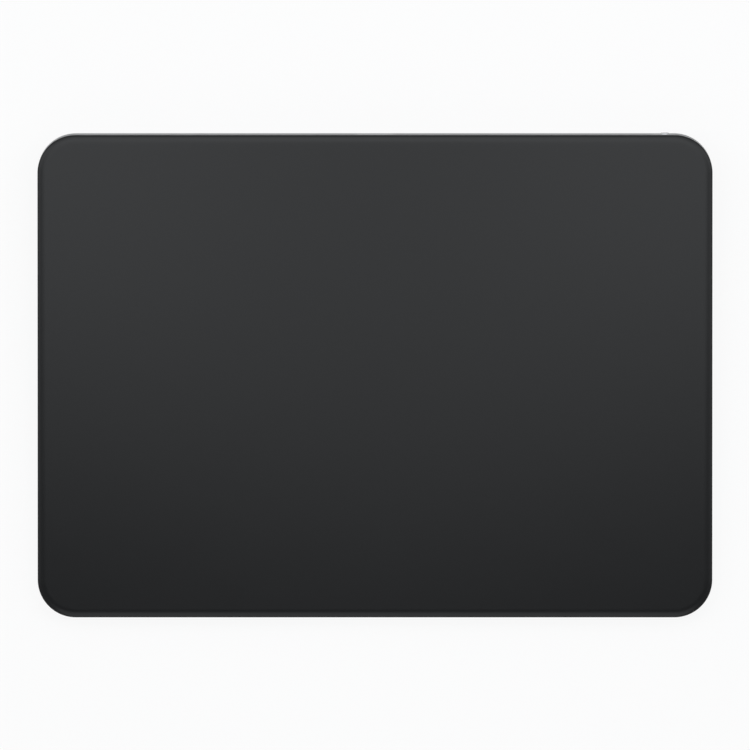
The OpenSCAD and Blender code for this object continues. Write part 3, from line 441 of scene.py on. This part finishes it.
def lacquered(tree, place, colour, relief, roughness, sockets):
    """Finish a circuit's tree: its colour, the relief of its copper, and lacquer of uneven gloss."""
    low, high = roughness
    lacquer = add(tree, "ShaderNodeTexNoise", {"Scale": 1 / (LACQUER_MM * MM), "Detail": 3.0},
                  {"Vector": place.outputs["Object"]})
    polish = add(tree, "ShaderNodeMapRange", {"To Min": low, "To Max": high},
                 {"Value": lacquer.outputs["Fac"]})
    bump = add(tree, "ShaderNodeBump", {"Distance": COPPER_MM * MM, "Strength": COPPER_BUMP},
               {"Height": relief})
    shader = add(tree, "ShaderNodeBsdfPrincipled", sockets, {
        "Base Color": colour,
        "Roughness": polish.outputs["Result"],
        "Normal": bump.outputs["Normal"],
    })
    add(tree, "ShaderNodeOutputMaterial", {}, {"Surface": shader.outputs["BSDF"]})


def printed(name, ground, line, row_mm, long_mm, line_mm, roughness, shift=0.0, turn=0, **sockets):
    """A circuit: two ground colours and raised lines, in rows that are turned by some degrees."""
    made, tree = new_tree(name)
    place = add(tree, "ShaderNodeTexCoord")
    turned = add(tree, "ShaderNodeMapping", {"Rotation": (0, 0, math.radians(turn))},
                 {"Vector": place.outputs["Object"]})
    lines = add(tree, "ShaderNodeTexBrick", {
        "offset": shift, "Color1": linear(ground[0]), "Color2": linear(ground[1]), "Mortar": linear(line),
        "Scale": BRICK_ROW / (row_mm * MM), "Row Height": BRICK_ROW,
        "Brick Width": BRICK_ROW * long_mm / row_mm,
        "Mortar Size": 0.5 * BRICK_ROW * line_mm / row_mm, "Mortar Smooth": LINE_EDGE,
    }, {"Vector": turned.outputs["Vector"]})
    lacquered(tree, place, lines.outputs["Color"], lines.outputs["Fac"], roughness, sockets)
    return made


# %% Flexible circuits
# Sensor laminate under black mask: a grid of electrodes, 5 mm apart, just shows through.
sensor_laminate = printed("black_mask_over_electrodes", ("#111714", "#151C18"), "#2B332E", 5.0, 5.0, 0.5,
                          (0.36, 0.48), IOR=1.5)
dress(sensor_laminate, "sensor_board")
# Polyimide film over tracks of 0.25 mm: clear amber, orange where copper lies under it.
POLYIMIDE = ("#86470F", "#965316"), "#B77A30", 0.5, 200.0, 0.25, (0.20, 0.34)
film_along = printed("polyimide_film_tracks_along", *POLYIMIDE, turn=90, IOR=1.7)
dress(film_along, "force_sensor_flex", "haptic_flex", "battery_lead")
film_across = printed("polyimide_film_tracks_across", *POLYIMIDE, IOR=1.7)
dress(film_across, "switch_flex")
# Strain gauge film: the same film with a fine foil grid, drawn at 0.25 mm so that it can be seen.
gauge_film = printed("polyimide_film_foil_grid", ("#9A6A22", "#A4742A"), "#C9BE9E", 0.25, 2.0, 0.12,
                     (0.24, 0.36), shift=0.5, IOR=1.7)

# %% [markdown]
# ## Rigid boards
#
# The tracks of a rigid board do not run in rows: they go in bundles from one
# chip to the next and turn at right angles. A cell texture that measures
# distance along the axes has square contour lines round each cell's middle, and
# every contour line becomes a track. A second, finer one sets the round pads of
# the plated holes.

# %% Solder mask
CELL_MM, TRACK_PITCH_MM, TRACK_MM = 7.0, 0.6, 0.25
HOLE_GRID_MM, PAD_MM, HOLE_SHARE = 3.0, 0.6, 0.4
# the cell textures measure distance in cells
half_pitch = 0.5 * TRACK_PITCH_MM / CELL_MM
half_track = 0.5 * TRACK_MM / CELL_MM
half_pad = 0.5 * PAD_MM / HOLE_GRID_MM

# Green solder mask, curtain coated over etched copper: glossy lacquer, paler where a track lies under
# it, with tinned rings round the holes. Tracks and rings are drawn about twice their real width, to show.
solder_mask, tree = new_tree("solder_mask_over_tracks")
place = add(tree, "ShaderNodeTexCoord")
cells = add(tree, "ShaderNodeTexVoronoi", {
    "voronoi_dimensions": "2D", "distance": "CHEBYCHEV", "Scale": 1 / (CELL_MM * MM), "Randomness": 0.7,
}, {"Vector": place.outputs["Object"]})
wave = add(tree, "ShaderNodeMath", {"operation": "PINGPONG", 1: half_pitch}, {0: cells.outputs["Distance"]})
track = add(tree, "ShaderNodeMapRange", {
    "From Min": 0.9 * half_track, "From Max": 1.1 * half_track, "To Min": 1.0, "To Max": 0.0,
}, {"Value": wave.outputs["Value"]})
mask_colour = add(tree, "ShaderNodeValToRGB", {"stops": [(0.0, "#0C2A18"), (1.0, "#1C4F30")]},
                  {"Fac": track.outputs["Result"]})
holes = add(tree, "ShaderNodeTexVoronoi", {
    "voronoi_dimensions": "2D", "Scale": 1 / (HOLE_GRID_MM * MM), "Randomness": 0.8,
}, {"Vector": place.outputs["Object"]})
ring = add(tree, "ShaderNodeMath", {"operation": "LESS_THAN", 1: half_pad}, {0: holes.outputs["Distance"]})
ring_colour = add(tree, "ShaderNodeValToRGB", {
    "interpolation": "CONSTANT",
    "stops": [(0.0, "#0A0B0A"), (HOLE_SHARE * half_pad, "#A9ACA8"), (half_pad, "#000000")],
}, {"Fac": holes.outputs["Distance"]})
colour = add(tree, "ShaderNodeMix", {"data_type": "RGBA"},
             {0: ring.outputs["Value"], 6: mask_colour.outputs["Color"], 7: ring_colour.outputs["Color"]})
lacquered(tree, place, colour.outputs[2], track.outputs["Result"], (0.24, 0.38), {"IOR": 1.5})
dress(solder_mask, "logic_board", "battery_board", "switch_board")

# %% [markdown]
# ## Plastics, rubber and film
#
# The pouch of the battery, the connectors, the tape and the printed patch behind
# the knob are sealed inside or sit deep in the openings of the rear wall. One
# grey plastic would pass for most of them in this picture. But each was pressed,
# moulded, cast or printed, which leaves its own grain and gloss, and the
# two-grain surface from above gives these with other sizes.

# %% Plastics, rubber and film
# Battery pouch of aluminium laminated with nylon, pressed in a die: satin dark grey with soft dents.
pouch = grained("pressed_pouch_laminate", "#232427", "#37383B", 1.5, (0.28, 0.44), 0.02, IOR=1.5)
dress(pouch, "battery_cell")
# Glass-filled polymer, injection moulded: ivory, with flow marks that dull it in patches.
moulded_ivory = grained("moulded_glass_filled_polymer", "#C5BFAD", "#DAD5C8", 0.5, (0.42, 0.60), 0.004,
                        cloud=(5.0, 0.35), IOR=1.6)
dress(moulded_ivory, "board_connectors", "antenna_carrier")
# Black polymer, injection moulded in a spark-eroded tool: a fine pebble that keeps it from shining.
moulded_black = grained("moulded_black_polymer", "#121213", "#1E1E1F", 0.2, (0.40, 0.56), 0.005,
                        cloud=(4.0, 0.35), IOR=1.6)
dress(moulded_black, "charge_port_tongue", "switch_shutter", "switch_slider", "antenna_cable")
# Acrylic foam tape, cast: matt black with open pores of half a millimetre.
foam_tape = grained("cast_acrylic_foam_tape", "#181818", "#2C2C2C", 0.5, (0.70, 0.86), 0.02, IOR=1.46)
dress(foam_tape, "cover_adhesive", "battery_tape")
# Silicone gel, cast in an open mould: wet-looking, clear and faintly blue.
clear_gel = grained("cast_silicone_gel", "#96A3B0", "#B1BDC8", 1.0, (0.10, 0.20), 0.01,
                    cloud=(4.0, 0.35), IOR=1.41, **{"Transmission Weight": 0.5})
# Green ink, pad printed on the black plate behind the knob: even and slightly grainy.
green_print = grained("pad_printed_green_ink", "#2BA346", "#40BD5B", 0.1, (0.38, 0.52), 0.001,
                      cloud=(3.0, 0.35), IOR=1.5)
dress(green_print, "indicator_patch")

# %% [markdown]
# ## Coils
#
# Each coil of the haptic engine is two layers of enamelled copper wire round the
# core. Stripes on a block would look like wire only from afar, and each real turn
# catches the light on its own. So a wire is a tube along a path: the path goes
# round the core's section while it moves on by one wire for each turn, and a ring
# of points is laid at each step, square to the path.

# %% Outlines, tubes and pieces


def outline(half_w, half_d, radius, inset, steps):
    """Points round a rectangle with round corners, moved in by inset."""
    points = []
    for corner, (side, end) in enumerate(((1, 1), (-1, 1), (-1, -1), (1, -1))):
        for step in range(steps + 1):
            angle = math.radians(90 * (corner + step / steps))
            points.append((
                side * (half_w - radius) + (radius - inset) * math.cos(angle),
                end * (half_d - radius) + (radius - inset) * math.sin(angle),
            ))
    return points


def tube(bm, path, radius, sides=6):
    """A closed tube along a path that winds round the x axis."""
    rings = []
    for i, point in enumerate(path):
        along = (path[min(i + 1, len(path) - 1)] - path[max(i - 1, 0)]).normalized()
        up = along.cross(Vector((1, 0, 0))).normalized()
        side = up.cross(along)
        turns = [2 * math.pi * k / sides for k in range(sides)]
        rings.append([bm.verts.new(point + radius * (math.cos(a) * side + math.sin(a) * up)) for a in turns])
    for before, after in zip(rings, rings[1:]):
        for k in range(sides):
            bm.faces.new((before[k], before[k - 1], after[k - 1], after[k]))
    bm.faces.new(rings[0])
    bm.faces.new(reversed(rings[-1]))


def show(name, bm, material, node):
    """Turn a bmesh into a piece of the model that stands in for a CAD node."""
    bmesh.ops.recalc_face_normals(bm, faces=bm.faces)
    mesh = bpy.data.meshes.new(name)
    bm.to_mesh(mesh)
    bm.free()
    mesh.materials.append(material)
    made = bpy.data.objects.new(name, mesh)
    bpy.context.scene.collection.objects.link(made)
    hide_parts(node)
    print(name, "has", len(mesh.polygons), "faces")
    return made


# %% Wind the coils
WIRE_R = 0.125 * MM
COIL_CORNER = 0.5 * MM
CORNER_STEPS = 2
LAYERS = 2

# Copper wire, drawn and enamelled: the metal's red shows through a clear brown coat.
enamelled_copper = grained("enamelled_copper_wire", "#9C5128", "#BC6C3E", 0.3, (0.24, 0.36), 0.002,
                           cloud=(3.0, 0.35), Metallic=1.0,
                           **{"Coat Weight": 0.6, "Coat Roughness": 0.12, "Coat Tint": linear("#E8C9A8")})

for hand in ("left", "right"):
    low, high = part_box("haptic_coil_" + hand)
    half, middle = (high - low) / 2, (high + low) / 2
    turns = int(half.x / WIRE_R) - 1
    pitch = 2 * (half.x - WIRE_R) / turns
    bm = bmesh.new()
    for layer in range(LAYERS):
        inset = WIRE_R * (1 + 2 * layer)
        loop = outline(half.y, half.z, COIL_CORNER, inset, CORNER_STEPS)
        path = [Vector((low.x + WIRE_R + pitch * (turn + k / len(loop)), middle.y + y, middle.z + z))
                for turn in range(turns) for k, (y, z) in enumerate(loop)]
        tube(bm, path, WIRE_R)
    for face in bm.faces:
        face.smooth = len(face.verts) == 4
    coil = show("wound_coil_" + hand, bm, enamelled_copper, "haptic_coil_" + hand)
    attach(coil, "base")

# %% [markdown]
# ## Screws
#
# Fourteen small screws hold the boards, the brackets and the legs. Blender's
# screw modifier can turn a thread, but the head and its recess would then be
# other meshes to join. Here each screw is one closed stack of rings. On the shank
# the ring's radius depends on height and angle, which makes a real helical
# thread, and in the head the rings of the recess have six lobes for the driver.

# %% One screw
THREAD_PITCH = 0.3 * MM
THREAD_DEPTH = 0.08 * MM
SHANK_R = 0.6 * MM
HEAD_H = 0.4 * MM
HEAD_EDGE = 0.1 * MM
# the driver's recess: its radius at the mouth, below its edge and at the bottom, as shares of the head's
RECESS = (0.56, 0.52, 0.48)
RECESS_BOTTOM = 0.45
LOBES, LOBE = 6, 0.14
SEGMENTS = 24


def screw(bm, place, head_r, shank):
    """One screw with the underside of its head at z = 0."""
    threads = int(4 * (shank - THREAD_PITCH) / THREAD_PITCH)
    mouth, throat, bottom = [share * head_r for share in RECESS]
    soft = 0.3 * HEAD_EDGE
    # each ring is (radius, height, lobe, thread)
    rings = [(0.7 * SHANK_R, -shank, 0, 0)]
    rings += [(SHANK_R, -shank + THREAD_DEPTH + i * THREAD_PITCH / 4, 0, 1) for i in range(threads + 1)]
    rings += [(SHANK_R, -0.1 * THREAD_PITCH, 0, 0), (SHANK_R, 0, 0, 0), (head_r, 0, 0, 0),
              (head_r, HEAD_H - HEAD_EDGE, 0, 0), (head_r - soft, HEAD_H - soft, 0, 0),
              (head_r - HEAD_EDGE, HEAD_H, 0, 0), (mouth, HEAD_H, LOBE, 0),
              (throat, HEAD_H - soft, LOBE, 0), (bottom, RECESS_BOTTOM * HEAD_H, LOBE, 0)]
    loops = []
    for radius, height, lobe, thread in rings:
        loop = []
        for k in range(SEGMENTS):
            angle = 2 * math.pi * k / SEGMENTS
            phase = (height / THREAD_PITCH - k / SEGMENTS) % 1
            reach = radius * (1 + lobe * math.cos(LOBES * angle)) - thread * THREAD_DEPTH * abs(2 * phase - 1)
            point = Vector((reach * math.cos(angle), reach * math.sin(angle), height))
            loop.append(bm.verts.new(place @ point))
        loops.append(loop)
    for below, above in zip(loops, loops[1:]):
        for k in range(SEGMENTS):
            bm.faces.new((below[k - 1], below[k], above[k], above[k - 1]))
    bm.faces.new(reversed(loops[0]))
    bm.faces.new(loops[-1])


# %% Turn the screws
# points of the CAD screws are gathered by place: screws stand further apart than this
SCREWS_APART = 3 * MM

# Steel, rolled and plated with nickel: a slightly warm grey mirror.
nickel_screw = grained("nickel_plated_steel", "#838487", "#9F9FA1", 0.2, (0.20, 0.32), 0.001,
                       cloud=(2.0, 0.35), Metallic=1.0)

for node, upright, head_up in (("leg_screws", SLOPE, False), ("board_screws", SLOPE, True),
                               ("port_screws", SLOPE, True), ("switch_screws", SLOPE, True),
                               ("haptic_screws", Matrix(), True)):
    groups = []
    for point in points_of(node, upright.inverted()):
        near = [g for g in groups if (g[0] - point).to_2d().length < SCREWS_APART]
        if near:
            near[0].append(point)
        else:
            groups.append([point])
    bm = bmesh.new()
    for group in groups:
        low, high = box_of(group)
        seat = high.z - HEAD_H if head_up else low.z + HEAD_H
        place = upright @ Matrix.Translation(((low.x + high.x) / 2, (low.y + high.y) / 2, seat))
        if not head_up:
            place = place @ Matrix.Rotation(math.pi, 4, "X")
        screw(bm, place, (high.x - low.x) / 2, high.z - low.z - HEAD_H)
    turned = show("turned_" + node, bm, nickel_screw, node)
    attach(turned, "base")

# %% [markdown]
# ## Pieces that bend
#
# A press on the glass bends four legs: each is screwed down at its eye, and its
# pad follows the glass. The gauges on the necks bend too, and the film to the
# logic board gives way in its riser. The CAD shapes are right but have no
# points on their flat sides, so each is copied, welded and sliced where it
# bends.

# %% Slice where it bends
SLICES = 8
WELD = 0.002 * MM
SHARP = math.radians(25)


def bending(name, node, material, slot, bodies, start, end, side=0, cut=None):
    """A copy of a CAD node, sliced into pieces between start and end. bodies is not used.

    side keeps only the pieces of the node on that side. cut is where the copy ends: a point and the way out.
    """
    bm = bmesh.new()
    bm.from_mesh(frame["nodes"][node].data)
    bmesh.ops.delete(bm, geom=[v for v in bm.verts if v.co.x * side < 0], context="VERTS")
    bmesh.ops.remove_doubles(bm, verts=bm.verts, dist=WELD)
    if cut:
        bmesh.ops.bisect_plane(bm, geom=[*bm.verts, *bm.edges, *bm.faces], dist=WELD,
                               plane_co=cut[0], plane_no=cut[1], clear_outer=True)
        bmesh.ops.holes_fill(bm, edges=[e for e in bm.edges if e.is_boundary])
    for i in range(SLICES + 1):
        bmesh.ops.bisect_plane(bm, geom=[*bm.verts, *bm.edges, *bm.faces], dist=WELD,
                               plane_co=start.lerp(end, i / SLICES), plane_no=(end - start).normalized())
    made = show(name, bm, material, node)
    normals = made.data.attributes.get("custom_normal")
    if normals:
        made.data.attributes.remove(normals)
    made.data.shade_smooth()
    made.data.set_sharp_from_angle(angle=SHARP)
    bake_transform(made)


# %% Legs, gauges and sensor film
# the neck of a leg, between its eye and its pad: distances from the middle of the trackpad
NECK_OUTER, NECK_INNER = 66.8 * MM, 62.5 * MM
FILM_T = 0.12 * MM

for hand, side in SIDES:
    neck = Vector((side * NECK_OUTER, 0, 0)), Vector((side * NECK_INNER, 0, 0))
    for end in ("front_", "rear_"):
        bending("sprung_leg_" + end + hand, "force_leg_" + end + hand, spring_steel, "spring_steel",
                ("base", "force_legs"), *neck)
    bending("bonded_gauges_" + hand, "strain_gauges", gauge_film, "gauge_film",
            ("base", "force_legs"), *neck, side)

up = SLOPE @ Vector((0, 0, 1))
low, high = slope_box("sensor_flex")
middle = up * (low.z + high.z) / 2
bending("sensor_flex_lower", "sensor_flex", film_along, "polyimide_flex", ("base", "force_legs"),
        up * (low.z + FILM_T), middle, cut=(middle, up))
bending("sensor_flex_upper", "sensor_flex", film_along, "polyimide_flex", ("force_legs", "touch_plate"),
        middle, up * (high.z - FILM_T), cut=(middle, -up))

# %% [markdown]
# ## Rounded pieces
#
# The glass, the feet, the gel pads and the knob share one form: a rounded outline
# whose edge has a section of its own. A loop of points is laid round the outline
# for each point of that section, and neighbouring loops are joined by quads. This
# keeps the edge smooth, which a bevel on the flat CAD faces would not.

# %% Loft along a rounded outline
# corners that meet in one point are joined
SEAM = 0.001 * MM


def loft(name, place, *shells, steps=24):
    """A mesh of closed shells: (half width, half depth, corner radius, section).

    A section is a list of (inset, height), from the bottom to the top.
    """
    mesh = bpy.data.meshes.new(name)
    bm = bmesh.new()
    for half_w, half_d, radius, section in shells:
        loops = []
        for inset, height in section:
            ring = outline(half_w, half_d, radius, inset, steps)
            loops.append([bm.verts.new((x, y, height)) for x, y in ring])
        for below, above in zip(loops, loops[1:]):
            for i in range(len(below)):
                j = (i + 1) % len(below)
                bm.faces.new((below[i], below[j], above[j], above[i]))
        bm.faces.new(reversed(loops[0]))
        bm.faces.new(loops[-1])
    bmesh.ops.remove_doubles(bm, verts=bm.verts, dist=SEAM)
    for face in bm.faces:
        face.smooth = len(face.verts) == 4
    bmesh.ops.transform(bm, matrix=place, verts=bm.verts)
    bm.to_mesh(mesh)
    bm.free()
    made = bpy.data.objects.new(name, mesh)
    bpy.context.scene.collection.objects.link(made)
    print(name, "has", len(mesh.polygons), "faces")
    return made


def quarter(run, drop, top, steps):
    """Rounded upper edge: (inset, height) along a quarter of an ellipse."""
    turns = [math.radians(90 * i / steps) for i in range(steps + 1)]
    return [(run * (1 - math.cos(a)), top - drop * (1 - math.sin(a))) for a in turns]


# %% [markdown]
# ## Cover glass
#
# The sheet is 1 mm of toughened glass, printed black on the back and etched on
# the front so that a finger glides on it. Etching turns the mirror image of the
# room into a soft glow. The edge is ground to a shallow curve 2 mm wide, and
# that curve draws the pale line along the rear and front.

# %% Cover glass
CORNER_R = 9.0 * MM
EDGE_RUN = 2.0 * MM
EDGE_DROP = 0.55 * MM
EDGE_STEPS = 16
UNDER_CHAMFER = 0.15 * MM

glass_half = (glass_high - glass_low) / 2
glass_centre = (glass_high + glass_low) / 2
glass_section = [(UNDER_CHAMFER, glass_low.z), (0, glass_low.z + UNDER_CHAMFER)]
glass_section += quarter(EDGE_RUN, EDGE_DROP, glass_high.z, EDGE_STEPS)
glass_place = SLOPE @ Matrix.Translation((glass_centre.x, glass_centre.y, 0))
cover_glass = loft("etched_cover_glass", glass_place, (glass_half.x, glass_half.y, CORNER_R, glass_section))
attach(cover_glass, "touch_plate")
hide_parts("cover_glass")

# Aluminosilicate glass, acid etched and coated against fingerprints, with black ink fired on its back:
# the ink gives a neutral near-black, the etch blurs every reflection, and the thin fluorine coat
# reflects less than bare glass, so the index is set between the two.
black_glass = grained("etched_glass_with_black_print", "#0C0D0E", "#0F1011", 0.3, (0.24, 0.26), 0.0006,
                      IOR=1.42)
cover_glass.data.materials.append(black_glass)

# %% [markdown]
# ## Feet
#
# Four discs of dark silicone rubber keep the pad from sliding. Their lower edge
# is rounded by the mould, and the face is slightly textured. The CAD discs have
# this shape in long thin triangles, which shade unevenly on a round edge. The
# loft lays the same shape in rings of quads.

# %% Feet
FOOT_ROUND = 0.4 * MM
FOOT_STEPS = 6

# Silicone rubber, moulded in a lightly blasted tool: dark grey, matt, with a soft sheen at its edge.
silicone = grained("moulded_silicone_rubber", "#3E3F40", "#4A4B4C", 0.4, (0.6, 0.75), 0.01, IOR=1.43)
for node in ("foot_front_left", "foot_front_right", "foot_rear_left", "foot_rear_right"):
    low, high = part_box(node)
    middle = (low + high) / 2
    radius = (high.x - low.x) / 2
    rounding = quarter(FOOT_ROUND, FOOT_ROUND, high.z, FOOT_STEPS)
    section = [(inset, high.z - height) for inset, height in reversed(rounding)]
    section.append((0, high.z))
    place = Matrix.Translation((middle.x, middle.y, 0))
    disc = loft(node.replace("foot", "rubber_foot"), place, (radius, radius, radius, section), steps=12)
    disc.data.materials.append(silicone)
    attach(disc, "base")
    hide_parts(node)

# %% [markdown]
# ## Gel pads
#
# A soft pad lies between each leg and the plate, so that the plate can shake
# sideways. Straight blocks would do, but a pad of gel that is squeezed a little
# bulges at its sides, and the loft gives that for free.

# %% Gel pads
GEL_ROUND = 0.75 * MM
GEL_BULGE = 0.1 * MM
GEL_STEPS = 8

gel_points = points_of("gel_pads", LEVEL)
rises = [i / GEL_STEPS for i in range(GEL_STEPS + 1)]
for end, row in (("front_", -1), ("rear_", 1)):
    for hand, side in SIDES:
        low, high = box_of([p for p in gel_points if p.x * side > 0 and p.y * row > 0])
        half, middle = (high - low) / 2, (high + low) / 2
        section = [(GEL_BULGE * (2 * rise - 1) ** 2, low.z + 2 * half.z * rise) for rise in rises]
        place = SLOPE @ Matrix.Translation((middle.x, middle.y, 0))
        pad = loft("cast_gel_pad_" + end + hand, place, (half.x, half.y, GEL_ROUND, section), steps=8)
        pad.data.materials.append(clear_gel)
        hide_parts("gel_pads")
        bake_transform(pad)

# %% [markdown]
# ## Power knob
#
# The knob is a small pill of aluminium on a stem. It is the one piece that is
# polished: its flat upper side mirrors the lamps overhead, and its round ends
# mirror the room at the sides. In the photograph it is light between two dark
# spots, and here the ends come out grey, because this room is pale at the horizon.
# A block with a bevel would show none of that, so the loft gives it round ends and
# an outer edge that a fingernail can push.

# %% Power knob
KNOB_ROUND = 0.3 * MM
KNOB_STEPS = 8
KNOB_DEPTH = 1.78 * MM
STEM_HALF_W, STEM_HALF_H, STEM_ROUND = 0.5 * MM, 0.3 * MM, 0.1 * MM

knob_low, knob_high = slope_box("power_knob")
knob_half = (knob_high - knob_low) / 2
knob_centre = (knob_high + knob_low) / 2
# seen in the knob's own frame, z points out of the rear wall and is 0 at the knob's face
knob_face = Matrix.Translation((knob_centre.x, knob_high.y, knob_centre.z))
knob_place = SLOPE @ knob_face @ Matrix.Rotation(-math.pi / 2, 4, "X")
pill_section = [(0, -KNOB_DEPTH)] + quarter(KNOB_ROUND, KNOB_ROUND, 0, KNOB_STEPS)
stem_section = [(0, -2 * knob_half.y), (0, -KNOB_DEPTH + STEM_ROUND)]
knob = loft("polished_power_knob", knob_place,
            (knob_half.x, knob_half.z, knob_half.z, pill_section),
            (STEM_HALF_W, STEM_HALF_H, STEM_ROUND, stem_section), steps=16)
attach(knob, "power_knob")
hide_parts("power_knob")

# Polished and clear anodised aluminium: nearly a mirror, a little softened by the oxide film, which
# also takes light away where the round ends turn from the eye.
polished_aluminium = grained("polished_anodised_aluminium", "#C8C9CA", "#D4D5D6", 0.08, (0.16, 0.22), 0.0005,
                             Metallic=1.0, **{"Specular Tint": linear("#1C1C1D")})
knob.data.materials.append(polished_aluminium)
